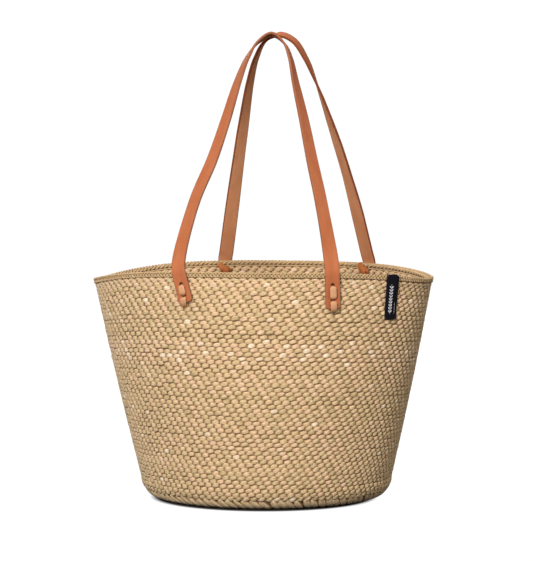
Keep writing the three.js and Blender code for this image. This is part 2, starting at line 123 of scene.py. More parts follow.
# Tones run from 0, darkest, to 1, palest.
MEAN_TONE = 0.46
STRAND_TONE = 0.12
STITCH_TONE_SPREAD = 0.14
PALE_BAND_TONE = 0.16
BLEACHED_TONE = 1.1
BLEACHED_SHARE = 0.006
BLEACHED_SHARE_IN_BAND = 0.1
TUFT_TONE = 0.42
WARP_TONE = 0.2

# The rim: a flat braid of three strands outside, a cord of two strands inside.
BAND_RISE = 3.75 * MM
BAND_DEPTH = -0.2 * MM
BRAID_PERIOD = 13 * MM
BRAID_SWING = 2.5 * MM
BRAID_WEAVE = 0.9 * MM
BRAID_HALF_WIDTH = 1.1 * MM
BRAID_HALF_THICK = 0.85 * MM
CORD_INSET = 4.75 * MM
CORD_RISE = 4 * MM
CORD_PITCH = 12 * MM
CORD_HELIX = 1.25 * MM
CORD_PLY = 1.35 * MM
GROOVE_INSET = 5.3 * MM
GROOVE_RISE = 0.5 * MM
GROOVE_STRAND = 1.05 * MM
RIM_STEPS = 12
RIM_TONE = 0.5

# Leather straps.
STRAP_WIDTH = 18 * MM
STRAP_THICKNESS = 3 * MM
STRAP_ROUNDING = 0.9 * MM
STRAP_CORNER = 3 * MM
STRAP_STEP = 1.5 * MM
GAP_FOOT_HEIGHT = 243 * MM
STRAP_FOOT_GAP = 0.5 * MM
STRAP_RIM_GAP = 2.2 * MM
HINGE_HEIGHT = 274.5 * MM
# Scales a strap's height into its tone, which sets the painted shade near the rim.
STRAP_SHADE_HEIGHT = 0.6

# Laces.
UPPER_HOLE_HEIGHT = 267.5 * MM
HOLE_RADIUS = 2.5 * MM
HOLE_SIDES = 24
PUNCH_DEPTHS = (-2 * MM, 9 * MM)
LACE_HALF_WIDTH = 4.0
LACE_HALF_THICK = 1.2
LACE_GAP_RADIUS = 3 * MM
LACE_GAP_SIDES = 16

# Label; its middle and lean at the front right of the rim.
LABEL_WIDTH = 17.5 * MM
LABEL_HEIGHT = 54 * MM
LABEL_THICKNESS = 0.8 * MM
LABEL_X = 171 * MM
LABEL_LEAN = -3 * MM
LABEL_TOP = 278.8 * MM
LABEL_BOW = 0.45 * MM
LABEL_WAVE = 0.12 * MM
LABEL_CELLS = (36, 14)

# Handles: centre line of each leg as x and height, and the strap's turn about its own length
# in degrees at fractions of the way from the rim to the apex.  Each lace is given by how far its
# middle hole and its foot lie below the upper hole, how far its foot lies aside, and how far its
# knot has slid to the right.
FRONT_HANDLE = {
    "side": -1,
    "apex": (14, 9, 567),
    "left": {
        "end_x": -68.4,
        "end_height": 246,
        "rim_x": -78.3,
        "points": [(-79.5, 301), (-66, 367), (-49, 415), (-36, 463), (-25, 509), (-15.5, 538),
                   (-3.3, 558)],
        "twist": [(0.12, 29), (0.24, 36), (0.44, 37), (0.6, 42), (0.7, 48), (0.8, 59),
                  (0.88, 71), (0.92, 83), (1, 106)],
        "lace": (14.5, 25.8, -3.4, 0),
    },
    "right": {
        "end_x": 105.5,
        "end_height": 239.5,
        "rim_x": 103.6,
        "points": [(101.7, 302), (85.7, 368), (72.4, 415), (59.6, 463), (46.2, 509),
                   (38.2, 538), (29.9, 555.5)],
        "twist": [(0.05, 24), (0.13, 38), (0.22, 47), (0.4, 53), (0.55, 60), (0.7, 70),
                  (0.8, 80), (0.9, 90), (1, 106)],
        "lace": (17.5, 31.2, 0.3, 0),
    },
}
BACK_HANDLE = {
    "side": 1,
    "apex": (20, 9, 567.5),
    "left": {
        "end_x": -64,
        "end_height": 243,
        "rim_x": -70.5,
        "points": [(-69, 294), (-54.9, 361), (-44, 412), (-32.8, 462.5), (-21.5, 510),
                   (-11.7, 539), (1.1, 559.5)],
        "twist": [(0.2, 27), (0.37, 44), (0.46, 51), (0.55, 55), (0.71, 70), (0.79, 78),
                  (0.87, 86), (0.94, 95), (1, 107)],
        "lace": (14.5, 29.5, 0, -5),
    },
    "right": {
        "end_x": 116,
        "end_height": 241,
        "rim_x": 115.3,
        "points": [(114.6, 294), (101.6, 362), (89.7, 413), (76.1, 462.5), (61.8, 509.5),
                   (50.4, 539), (37.1, 560)],
        "twist": [(0.2, 27), (0.36, 45), (0.5, 51), (0.6, 61), (0.7, 73), (0.76, 84),
                  (0.82, 94), (0.92, 101), (1, 107)],
        "lace": (14.5, 29.5, 0, 0),
    },
}


# --- shell surface ---

ANGLE_STEP = 1e-3
RING_SAMPLES = 1441


def rim_height(phi):
    along = np.cos(phi)
    dip = np.where(along < 0, RIM_DIP_LEFT, RIM_DIP_RIGHT)
    return BODY_HEIGHT - dip * along**4


def half_size(level, at_rim, bulge):
    """Half the length or depth of the wall; level 0 is its foot and 1 the top of the rim."""
    return FOOT_RADIUS + (at_rim - FOOT_RADIUS) * level + bulge * np.sin(np.pi * level)


def oval_point(phi, level):
    """Outer face of the wall at an angle round it and a level."""
    x = BASE_SHIFT * (1 - level) + half_size(level, RIM_HALF_LENGTH, END_BULGE) * np.cos(phi)
    y = half_size(level, RIM_HALF_DEPTH, SIDE_BULGE) * np.sin(phi)
    z = CORNER_HEIGHT + (rim_height(phi) - CORNER_HEIGHT) * level
    return np.stack([x, y, z], -1)


def round_point(phi, radius, z):
    return np.stack([BASE_SHIFT + radius * np.cos(phi), radius * np.sin(phi), z], -1)


def shell_point(row, phi):
    """Outer face of the whole basket at a row number, from the top of the wall to the base."""
    row, phi = np.broadcast_arrays(np.asarray(row, float), np.asarray(phi, float))
    eased = row * (1 - CROWDING * np.exp(-np.abs(row) / CROWDED_ROWS))
    wall = oval_point(phi, WALL_END * (1 - eased / WALL_ROWS))
    turn = np.clip((row - WALL_ROWS) / CORNER_ROWS, 0, 1) * np.pi / 2
    radius = BASE_RADIUS + CORNER_REACH * np.cos(turn)
    corner = round_point(phi, radius, CORNER_HEIGHT * (1 - np.sin(turn)))
    inward = np.clip((row - WALL_ROWS - CORNER_ROWS) / BASE_ROWS, 0, 1)
    base = round_point(phi, BASE_RADIUS * (1 - inward), np.zeros_like(phi))
    on_wall = (row < WALL_ROWS)[..., None]
    on_corner = (row < WALL_ROWS + CORNER_ROWS)[..., None]
    return np.where(on_wall, wall, np.where(on_corner, corner, base))


def unit(v):
    return v / np.maximum(np.linalg.norm(v, axis=-1, keepdims=True), 1e-12)


def shell_axes(row, phi):
    """Outward normal and the direction up the wall at each point."""
    around = shell_point(row, phi + ANGLE_STEP) - shell_point(row, phi - ANGLE_STEP)
    up = shell_point(row - 0.05, phi) - shell_point(row + 0.05, phi)
    normal = unit(np.cross(around, up))
    up = unit(up - normal * np.sum(up * normal, -1, keepdims=True))
    return normal, up


def running_length(points):
    return np.concatenate([[0], np.cumsum(np.linalg.norm(np.diff(points, axis=0), axis=1))])


def even_angles(row, count):
    """Angles round the shell at equal distances along it, starting at the left end."""
    phi = np.linspace(-np.pi, np.pi, RING_SAMPLES)
    length = running_length(shell_point(row, phi))
    return np.interp(np.arange(count) / count * length[-1], length, phi)


# --- mesh building ---

def add_object(name, data):
    obj = bpy.data.objects.new(name, data)
    bpy.context.scene.collection.objects.link(obj)
    return obj


class Soup:
    """Collects tubes of points into one mesh, with a tone and fibre coordinates per vertex."""

    def __init__(self):
        self.points, self.quads, self.tones, self.fibres, self.mats = [], [], [], [], []
        self.count = 0

    def tube(self, grid, closed, tone, fibre, mats=None):
        """grid[i, k] is point k of ring i. A closed tube joins its last ring to its first; an
        open one is capped. tone and fibre broadcast over the grid; mats is one per side."""
        runs, sides = grid.shape[:2]
        i = np.arange(runs if closed else runs - 1)[:, None]
        k = np.arange(sides)[None, :]
        here, there = i * sides, (i + 1) % runs * sides
        side = (k + 1) % sides
        quads = np.stack(np.broadcast_arrays(here + k, there + k, there + side, here + side), -1)
        quads = quads.reshape(-1, 4)
        if mats is None:
            faces = np.zeros(len(quads), int)
        else:
            faces = np.broadcast_to(np.asarray(mats)[None, :], (len(i), sides)).ravel()
        if not closed:
            s = np.arange(sides // 2 - 1)
            far = sides - 1 - s
            low = np.stack([s, s + 1, far - 1, far], -1)
            high = np.stack([s, far, far - 1, s + 1], -1) + (runs - 1) * sides
            quads = np.concatenate([quads, low, high])
            faces = np.concatenate([faces, np.full(2 * len(s), faces.max())])
        points = grid.reshape(-1, 3)
        a, b, c, d = (points[quads[:, n]] for n in range(4))
        if np.sum(a * np.cross(b, c)) + np.sum(a * np.cross(c, d)) < 0:
            quads = quads[:, ::-1]
        self.points.append(points)
        self.quads.append(quads + self.count)
        self.mats.append(faces)
        self.tones.append(np.broadcast_to(tone, (runs, sides)).ravel())
        self.fibres.append(np.broadcast_to(fibre, (runs, sides, 3)).reshape(-1, 3))
        self.count += runs * sides

    def build(self, name, materials):
        points = np.concatenate(self.points)
        quads = np.concatenate(self.quads)
        mesh = bpy.data.meshes.new(name)
        mesh.vertices.add(len(points))
        mesh.vertices.foreach_set("co", points.astype(np.float32).ravel())
        mesh.loops.add(quads.size)
        mesh.loops.foreach_set("vertex_index", quads.astype(np.int32).ravel())
        mesh.polygons.add(len(quads))
        mesh.polygons.foreach_set("loop_start", np.arange(0, quads.size, 4, dtype=np.int32))
        mesh.polygons.foreach_set("material_index", np.concatenate(self.mats).astype(np.int32))
        mesh.polygons.foreach_set("use_smooth", np.ones(len(quads), bool))
        mesh.update(calc_edges=True)
        for attribute, kind, key, values in (
                ("tone", "FLOAT", "value", self.tones),
                ("fibre", "FLOAT_VECTOR", "vector", self.fibres)):
            values = np.concatenate(values).astype(np.float32).ravel()
            mesh.attributes.new(attribute, kind, "POINT").data.foreach_set(key, values)
        for material in materials:
            mesh.materials.append(material)
        return add_object(name, mesh)


def sweep(centre, across, out, half_width, half_thick, sides, power=1.0):
    """Rings of a rounded flat section, and how far across each of its points lies, -1 to 1.

    across and out are its two directions. A power below 1 makes it squarer than an ellipse.
    """
    angle = 2 * np.pi * (np.arange(sides) + 0.5) / sides
    c, s = np.cos(angle), np.sin(angle)
    c, s = np.sign(c) * np.abs(c) ** power, np.sign(s) * np.abs(s) ** power
    w = np.broadcast_to(half_width, centre.shape[:1])[:, None, None]
    t = np.broadcast_to(half_thick, centre.shape[:1])[:, None, None]
    grid = centre[:, None] + across[:, None] * (w * c[None, :, None])
    return grid + out[:, None] * (t * s[None, :, None]), c


def fibre_field(along, across, show=1.0):
    """Fibre coordinates: millimetres along, -1 to 1 across, and 1 where a strand lies outermost."""
    shown = np.broadcast_to(show, along.shape)
    return np.stack(np.broadcast_arrays(along[:, None] / MM, across[None, :], shown[:, None]), -1)


# --- weave ---

def in_pale_band(row):
    return PALE_BAND[0] <= row <= PALE_BAND[1]


def row_tone(row):
    """Slow bands of paler and darker fibre up the basket."""
    band = PALE_BAND_TONE if in_pale_band(row) else 0.0
    return 0.07 * math.sin(row * 0.33 + 1.0) + 0.05 * math.sin(row * 1.31) + band


def weft_row(soup, row, count, height, slant):
    """One twined row: two strands that pass each other between the warps."""
    steps = count * STEPS_PER_STITCH
    phi = even_angles(row, steps)
    drift = ROW_DRIFT * np.cos(phi) * math.sin(math.pi * min(row / (WALL_ROWS + CORNER_ROWS), 1))
    shift = ROW_SHIFT * round(row)
    thick_row = 1 + ROW_SIZE_SPREAD * rng.standard_normal()
    lift_row = ROW_LIFT_SPREAD * rng.standard_normal()
    sunk = WALL / 2 + 0.6 * MM * min(max((row - WALL_ROWS - 3) / 2, 0), 1)
    for strand in (0, 1):
        s = np.arange(steps) / STEPS_PER_STITCH - shift - strand
        stitch = np.floor(s).astype(int) % count
        belly = np.abs(np.sin(np.pi * s))
        plump = 1 + STITCH_SIZE_SPREAD * rng.standard_normal(count)[stitch]
        nudge = STITCH_NUDGE_SPREAD * rng.standard_normal(count)[stitch] * belly
        rise = STITCH_LIFT_SPREAD * rng.standard_normal(count)[stitch] * belly
        half_height = STRAND_HALF_HEIGHT * height * thick_row * (0.34 + 0.66 * belly**0.65 * plump)
        half_thick = STRAND_HALF_THICK * (0.7 + 0.3 * belly)
        out = STRAND_SWING * np.sin(np.pi * s) - sunk + rise + lift_row
        lean = STRAND_SLANT * slant / ROW_PITCH
        line = row + drift + lean * np.cos(np.pi * s) + nudge * 0.5
        normal, up = shell_axes(line, phi)
        centre = shell_point(line, phi) + normal * out[:, None]
        grid, across = sweep(centre, up, normal, half_height, half_thick, STRAND_SIDES, 0.72)
        own = STITCH_TONE_SPREAD * rng.standard_normal(count)[stitch]
        tone = MEAN_TONE + STRAND_TONE * (1 if strand else -1) + row_tone(row) + own
        share = BLEACHED_SHARE_IN_BAND if in_pale_band(row) else BLEACHED_SHARE
        tone = np.where(rng.random(count)[stitch] < share, BLEACHED_TONE, tone)
        length = np.arange(steps) * BASE_STITCH / STEPS_PER_STITCH + 0.7 * row
        # belly, as the fibre's third coordinate, also sets the painted shade where the strand dips.
        fibre = fibre_field(length, across, belly)
        soup.tube(grid, True, np.clip(tone, 0, 1)[:, None], fibre)


def make_weft(materials):
    """The wall, foot and base rows, in pieces of a few rows each."""
    pieces = []
    total = WALL_ROWS + CORNER_ROWS + BASE_ROWS
    groups, current, load = [], [], 0
    for row in [TOP_ROW] + [n + 0.02 for n in range(1, total)]:
        if TUFT_ROWS[0] < row < TUFT_ROWS[1]:
            continue
        radius = np.linalg.norm(shell_point(row, 0.0)[:2] - np.array([BASE_SHIFT, 0]))
        count = STITCHES
        if row > WALL_ROWS + CORNER_ROWS:
            count = max(6, 2 * round(math.pi * radius / BASE_STITCH))
        if load + count > ROWS_PER_PIECE * STITCHES:
            groups.append(current)
            current, load = [], 0
        current.append((row, count))
        load += count
    groups.append(current)
    for number, group in enumerate(groups, 1):
        soup = Soup()
        for row, count in group:
            shape = (TOP_ROW_HEIGHT, TOP_ROW_SLANT) if row == TOP_ROW else (1, 1)
            weft_row(soup, row, count, *shape)
        pieces.append(soup.build(f"weft_rows_{number:02d}", materials))
    return pieces


def make_warps(materials):
    """Close upright cords between the two faces of the weave, as one ribbed sheet; its dark colour is
    painted shade.
    """
    soup = Soup()
    last = WALL_ROWS + CORNER_ROWS + BASE_ROWS - 0.2
    rows = np.concatenate([np.linspace(-1.3, WALL_ROWS, 20), np.linspace(WALL_ROWS + 1, last, 28)])
    profile = np.concatenate([rows, rows[::-1]])
    face = np.concatenate([np.ones(len(rows)), -np.ones(len(rows))])
    steps = STITCHES * RIBS_PER_STITCH * RIB_STEPS
    angles = np.stack([even_angles(row, steps) for row in rows], 1)
    phi = np.concatenate([angles, angles[:, ::-1]], 1)
    rib = np.abs(np.sin(np.pi * (np.arange(steps) + 0.5) / RIB_STEPS))[:, None]
    sunk = WALL / 2 + np.where(profile > WALL_ROWS + 4, 0.5 * MM, 0)
    depth = face * (0.3 + 0.7 * rib) * MM - sunk
    normal, _ = shell_axes(profile[None, :], phi)
    grid = shell_point(profile[None, :], phi) + normal * depth[:, :, None]
    fibre = np.zeros((*phi.shape, 3))
    fibre[..., 0] = profile * ROW_PITCH / MM
    fibre[..., 1] = np.arange(steps)[:, None] / RIB_STEPS
    soup.tube(grid, True, WARP_TONE, fibre)
    return soup.build("warp_cords", materials)


def make_tufts(materials):
    """Fat slanting strands that wrap the edge where the wall turns into the base."""
    soup = Soup()
    count = round(2 * math.pi * (BASE_RADIUS + CORNER_REACH / 2) / TUFT_PITCH)
    share = np.linspace(0, 1, 17)
    for n in range(count):
        row = TUFT_ROWS[0] + (TUFT_ROWS[1] - TUFT_ROWS[0]) * share + 0.12 * rng.standard_normal()
        lean = TUFT_LEAN / FOOT_RADIUS * (1 + 0.1 * rng.standard_normal())
        phi = 2 * math.pi * (n + 0.06 * rng.standard_normal()) / count + lean * (2 * share - 1)
        normal, _ = shell_axes(row, phi)
        belly = np.sin(np.pi * (0.07 + 0.86 * share)) ** 0.4
        size = 1 + 0.07 * rng.standard_normal()
        depth = 1.9 * MM + 0.9 * MM * share + 1.6 * MM * (1 - belly)
        centre = shell_point(row, phi) - normal * depth[:, None]
        along = unit(np.gradient(centre, axis=0))
        across = np.cross(along, normal)
        grid, c = sweep(centre, across, normal, TUFT_HALF_WIDTH * size * belly,
                        TUFT_HALF_THICK * belly, 10)
        tone = np.clip(TUFT_TONE + 0.1 * rng.standard_normal(), 0, 1)
        soup.tube(grid, False, tone, fibre_field(share * 20 * MM + n * 7 * MM, c))
    return soup.build("foot_tufts", materials)


# --- rim ---

def rim_point(phi, out, rise):
    """A point by the rim: out from the outer face of the wall, rise above the wall's end."""
    level = WALL_END + rise / (rim_height(phi) - CORNER_HEIGHT)
    around = oval_point(phi + ANGLE_STEP, level) - oval_point(phi - ANGLE_STEP, level)
    outward = unit(np.stack([around[:, 1], -around[:, 0], np.zeros(len(phi))], -1))
    return oval_point(phi, level) + outward * np.asarray(out)[:, None], outward


def rim_turns(pitch):
    """How many whole turns of a pitch go round the rim."""
    return round(running_length(oval_point(np.linspace(0, 2 * np.pi, RING_SAMPLES), 1.0))[-1] / pitch)


def per_piece(turn, spread):
    """A random share for each half turn of a strand."""
    piece = np.floor(turn / np.pi).astype(int)
    return spread * rng.standard_normal(piece.max() + 2)[piece]


def rim_strand(soup, phi, out, rise, half_width, half_thick, tone, length, square=False):
    """One strand round the rim. A square one has its section square to its own course."""
    centre, outward = rim_point(phi, out, rise)
    along = unit(np.roll(centre, -1, axis=0) - np.roll(centre, 1, axis=0))
    across = unit(np.cross(outward, along))
    facing = unit(np.cross(along, across)) if square else outward
    grid, c = sweep(centre, across, facing, half_width, half_thick, STRAND_SIDES)
    tones = np.broadcast_to(np.clip(tone, 0, 1), phi.shape)[:, None]
    soup.tube(grid, True, tones, fibre_field(length, c))


def make_rim_braid(materials):
    soup = Soup()
    steps = rim_turns(BRAID_PERIOD) * RIM_STEPS
    phi = even_angles(0, steps)
    for strand in range(3):
        turn = 2 * np.pi * (np.arange(steps) / RIM_STEPS + strand / 3)
        rise = BAND_RISE + BRAID_SWING * np.sin(turn)
        out = BAND_DEPTH + BRAID_WEAVE * np.sin(2 * turn)
        half_width = BRAID_HALF_WIDTH * (1 + per_piece(turn, 0.07))
        tone = RIM_TONE + per_piece(turn, 0.13)
        length = np.arange(steps) * BRAID_PERIOD / RIM_STEPS + strand * 0.31
        rim_strand(soup, phi, out, rise, half_width, BRAID_HALF_THICK, tone, length)
    return soup.build("rim_braid_strands", materials)


def make_rim_cord(materials):
    """Two plies, and one thinner strand in the groove between them and the top row."""
    soup = Soup()
    turns = rim_turns(CORD_PITCH)
    steps = turns * RIM_STEPS
    phi = even_angles(0, steps)
    for ply in range(2):
        turn = 2 * np.pi * np.arange(steps) / RIM_STEPS + ply * np.pi
        half_turn = np.floor(turn / np.pi).astype(int)
        size = CORD_PLY * (1 + 0.06 * rng.standard_normal(turns * 2 + 2)[half_turn])
        tone = RIM_TONE + 0.12 * rng.standard_normal(turns * 2 + 2)[half_turn]
        out = -CORD_INSET + CORD_HELIX * np.cos(turn)
        rise = CORD_RISE + CORD_HELIX * np.sin(turn)
        length = np.arange(steps) * CORD_PITCH / RIM_STEPS + ply * 0.17
        rim_strand(soup, phi, out, rise, size, size, tone, length, square=True)
    # The groove's strand swells with the last ply's turns.
    size = GROOVE_STRAND * (1 + 0.12 * np.sin(2 * turn))
    out = np.full(steps, -GROOVE_INSET)
    rim_strand(soup, phi, out, GROOVE_RISE, size, size, RIM_TONE, length)
    return soup.build("rim_cord_plies", materials)


# --- places on the wall ---

def wall_spot(x, height, side):
    """The outer wall at an x and a height, on the front (-1) or the back (1): point, normal."""
    phi, level = side * math.pi / 2, 1.0
    for _ in range(30):
        level = (height - CORNER_HEIGHT) / (float(rim_height(phi)) - CORNER_HEIGHT)
        half_length = half_size(level, RIM_HALF_LENGTH, END_BULGE)
        ratio = (x - BASE_SHIFT * (1 - level)) / half_length
        phi = side * math.acos(max(-1.0, min(1.0, ratio)))
    around = oval_point(phi + ANGLE_STEP, level) - oval_point(phi - ANGLE_STEP, level)
    up = oval_point(phi, level + ANGLE_STEP) - oval_point(phi, level - ANGLE_STEP)
    return oval_point(phi, level), unit(np.cross(around, up))


def strap_gap(height):
    """How far a strap's back stands off the wall at a height."""
    share = (height - GAP_FOOT_HEIGHT) / (HINGE_HEIGHT - GAP_FOOT_HEIGHT)
    return STRAP_FOOT_GAP + (STRAP_RIM_GAP - STRAP_FOOT_GAP) * min(max(share, 0), 1)


# --- handles ---

def smooth_curve(points, steps=40):
    """Closely spaced samples of a centripetal Catmull-Rom curve through the points."""
    points = np.asarray(points, float)
    ends = [2 * points[:1] - points[1:2], points, 2 * points[-1:] - points[-2:-1]]
    p = np.concatenate(ends)
    knot = np.sqrt(np.linalg.norm(np.diff(p, axis=0), axis=1))
    t = np.linspace(0, 1, steps, endpoint=False)[:, None]
    runs = []
    for i in range(1, len(p) - 2):
        a, b, c, d = p[i - 1:i + 3]
        d0, d1, d2 = knot[i - 1:i + 2]
        m = d1 * ((b - a) / d0 - (c - a) / (d0 + d1) + (c - b) / d1)
        n = d1 * ((c - b) / d1 - (d - b) / (d1 + d2) + (d - c) / d2)
        runs.append(b + m * t + (3 * (c - b) - 2 * m - n) * t**2 + (2 * (b - c) + m + n) * t**3)
    return np.concatenate(runs + [points[-1:]])


def along_curve(points, length, places):
    return np.stack([np.interp(places, length, points[:, i]) for i in range(3)], -1)


def leg_points(handle, leg):
    """Points up one leg: along the wall from its end to the rim, then up to the apex."""
    points = []
    end_height = leg["end_height"] * MM
    for share in (0, 0.3, 0.6, 0.8, 1):
        height = end_height + (BODY_HEIGHT - end_height) * share
        x = (leg["end_x"] + (leg["rim_x"] - leg["end_x"]) * share) * MM
        point, normal = wall_spot(x, height, handle["side"])
        points.append(point + normal * (strap_gap(height) + STRAP_THICKNESS / 2))
    rim_depth = points[-1][1]
    apex_depth, apex_height = handle["side"] * handle["apex"][1] * MM, handle["apex"][2] * MM
    for x, height in leg["points"]:
        rise = (height * MM - BODY_HEIGHT) / (apex_height - BODY_HEIGHT)
        points.append(np.array([x * MM, rim_depth + (apex_depth - rim_depth) * rise, height * MM]))
    return points


class Handle:
    """Centre line of a handle with the strap's directions all along it."""

    def __init__(self, handle):
        self.handle = handle
        self.side = handle["side"]
        x, depth, height = handle["apex"]
        apex = np.array([x, self.side * depth, height]) * MM
        left = leg_points(handle, handle["left"])
        right = leg_points(handle, handle["right"])[::-1]
        self.curve = smooth_curve(left + [apex] + right)
        self.length = running_length(self.curve)
        self.total = self.length[-1]
        half = len(self.curve) // 2
        top = slice(half - 200, half + 200)
        self.apex = np.interp(apex[0], self.curve[top, 0], self.length[top])
        self.rims = [self.place_at(BODY_HEIGHT, -1), self.place_at(BODY_HEIGHT, 1)]

    def place_at(self, height, direction):
        """Distance along the strap at which one leg reaches a height."""
        quarter = len(self.curve) // 4
        leg = slice(0, quarter) if direction < 0 else slice(None, -quarter, -1)
        return np.interp(height, self.curve[leg, 2], self.length[leg])

    def axes(self, places):
        """Centre, direction along the strap, and two directions square to it."""
        centre = along_curve(self.curve, self.length, places)
        step = 0.5 * MM
        ahead = along_curve(self.curve, self.length, np.minimum(places + step, self.total))
        behind = along_curve(self.curve, self.length, np.maximum(places - step, 0))
        along = unit(ahead - behind)
        face = np.zeros_like(along)
        face[:, 1] = self.side
        face = unit(face - along * np.sum(face * along, -1, keepdims=True))
        return centre, along, face, np.cross(face, along) * -self.side

    def wall_twist(self, places):
        """The turn, in degrees, that lays the strap flat on the wall at each place."""
        centre, _, face, out = self.axes(places)
        twists = []
        for point, f, o in zip(centre, face, out):
            _, normal = wall_spot(point[0], min(point[2], BODY_HEIGHT), self.side)
            twists.append(math.degrees(math.atan2(normal @ o, normal @ f)))
        return np.array(twists)

    def twist(self, places):
        values = np.zeros(len(places))
        for leg, rim in (("left", self.rims[0]), ("right", self.rims[1])):
            inside = places < self.apex if leg == "left" else places >= self.apex
            fraction = (places - rim) / (self.apex - rim)
            table = np.array([(0, self.wall_twist(np.array([rim]))[0])] + self.handle[leg]["twist"])
            above = np.interp(fraction, table[:, 0], table[:, 1])
            low = inside & (fraction <= 0)
            values[inside] = above[inside]
            if low.any():
                values[low] = self.wall_twist(places[low])
        return values

    def frame(self, places):
        """Centre, direction along the strap, the way its grain side faces, and its width."""
        centre, along, face, out = self.axes(places)
        angle = np.radians(self.twist(places))[:, None]
        grain = face * np.cos(angle) + out * np.sin(angle)
        return centre, along, grain, np.cross(along, grain)

    def tie(self, direction):
        """Axes of a lace: origin on the outer wall at the upper hole, out, down and across."""
        place = np.array([self.place_at(UPPER_HOLE_HEIGHT, direction)])
        centre, along, _, _ = (v[0] for v in self.axes(place))
        _, out = wall_spot(centre[0], centre[2], self.side)
        down = along * direction
        down = unit(down - out * (down @ out))
        origin = centre - out * (strap_gap(centre[2]) + STRAP_THICKNESS / 2)
        return origin, out, down, np.cross(out, down)


GRAIN, EDGE, FLESH = 0, 1, 2


def strap_outline():
    """Round the strap's section from its left edge: across, thickness and leather side."""
    half_width, half_thick, r = STRAP_WIDTH / 2, STRAP_THICKNESS / 2, STRAP_ROUNDING
    flat = np.linspace(-(half_width - r), half_width - r, 9)
    turn = np.radians([65, 40, 12, -12, -40, -65])
    edge_across = half_width - r + r * np.cos(turn)
    edge_thick = np.sign(turn) * (half_thick - r) + r * np.sin(turn)
    across = np.concatenate([flat, edge_across, flat[::-1], -edge_across])
    thick = np.concatenate([np.full(9, half_thick), edge_thick, np.full(9, -half_thick),
                            -edge_thick])
    sides = np.array([GRAIN] * 8 + [EDGE] * 7 + [FLESH] * 8 + [EDGE] * 7)
    return across, thick, sides


def make_strap(name, line, materials):
    across, thick, sides = strap_outline()
    # Rings lie closer together near both ends, where the corners are rounded.
    ends = np.array([0, 0.15, 0.5, 1.0, 1.7, 2.5, 3.4]) * MM
    count = round((line.total - 2 * ends[-1]) / STRAP_STEP)
    middle = np.linspace(ends[-1], line.total - ends[-1], count)
    places = np.concatenate([ends[:-1], middle, line.total - ends[-2::-1]])
    centre, _, grain, sideways = line.frame(places)
    from_end = np.minimum(places, line.total - places)
    short = np.clip(STRAP_CORNER - from_end, 0, STRAP_CORNER)
    cut = STRAP_CORNER - np.sqrt(STRAP_CORNER**2 - short**2)
    width = 1 - cut / (STRAP_WIDTH / 2)
    thinner = np.where(from_end < 0.4 * MM, 0.8, 1.0)
    grid = centre[:, None] + sideways[:, None] * (across[None, :, None] * width[:, None, None])
    grid = grid + grain[:, None] * (thick[None, :, None] * thinner[:, None, None])
    run = np.broadcast_to(places[:, None] / MM, grid.shape[:2])
    fibre = np.stack([run, np.broadcast_to(across / MM, grid.shape[:2]),
                      np.broadcast_to(thick / MM, grid.shape[:2])], -1)
    soup = Soup()
    # The tone carries height, for the painted shade near the rim.
    soup.tube(grid, False, (centre[:, 2] / STRAP_SHADE_HEIGHT)[:, None], fibre, sides)
    strap = soup.build(name, materials)
    for direction, end in ((-1, "left"), (1, "right")):
        for down in (0, line.handle[end]["lace"][0]):
            punch(strap, line.tie(direction), down)
    return strap


def punch(strap, tie, down):
    """Cuts a round lace hole through a strap."""
    origin, out, below, across = tie
    centre = origin + below * down * MM
    mesh = bpy.data.meshes.new("punch")
    angle = 2 * np.pi * np.arange(HOLE_SIDES) / HOLE_SIDES
    ring = HOLE_RADIUS * (np.cos(angle)[:, None] * below + np.sin(angle)[:, None] * across)
    points = np.concatenate([centre + out * depth + ring for depth in PUNCH_DEPTHS])
    faces = [tuple(range(HOLE_SIDES - 1, -1, -1)), tuple(range(HOLE_SIDES, 2 * HOLE_SIDES))]
    for i in range(HOLE_SIDES):
        j = (i + 1) % HOLE_SIDES
        faces.append((i, j, j + HOLE_SIDES, i + HOLE_SIDES))
    mesh.from_pydata(points.tolist(), [], faces)
    cutter = add_object("punch", mesh)
    modifier = strap.modifiers.new("hole", "BOOLEAN")
    modifier.operation = "DIFFERENCE"
    modifier.solver = "EXACT"
    modifier.object = cutter
    graph = bpy.context.evaluated_depsgraph_get()
    cut = bpy.data.meshes.new_from_object(strap.evaluated_get(graph))
    strap.modifiers.clear()
    old = strap.data
    strap.data = cut
    bpy.data.meshes.remove(old)
    bpy.data.objects.remove(cutter)
    bpy.data.meshes.remove(mesh)


# --- laces ---

def tie_points(tie, stations):
    origin, out, down, across = tie
    s = np.asarray(stations, float) * MM
    return origin + s[:, :1] * out + s[:, 1:2] * down + s[:, 2:3] * across


LACE_SIDES = 14
LACE_SQUARENESS = 0.7


def ribbon(soup, tie, stations, width_axis, tone, mat=0):
    """A flat strip through stations of out, down, across, half width and half thickness, in mm."""
    stations = np.asarray(stations, float)
    fine = smooth_curve(tie_points(tie, stations[:, :3]), 8)
    order = np.linspace(0, len(stations) - 1, len(fine))
    half_width = np.interp(order, np.arange(len(stations)), stations[:, 3]) * MM
    half_thick = np.interp(order, np.arange(len(stations)), stations[:, 4]) * MM
    along = unit(np.gradient(fine, axis=0))
    width = unit(width_axis - along * (along @ width_axis)[:, None])
    grid, c = sweep(fine, width, np.cross(along, width), half_width, half_thick, LACE_SIDES,
                    LACE_SQUARENESS)
    soup.tube(grid, False, tone, fibre_field(running_length(fine), c), np.full(LACE_SIDES, mat))


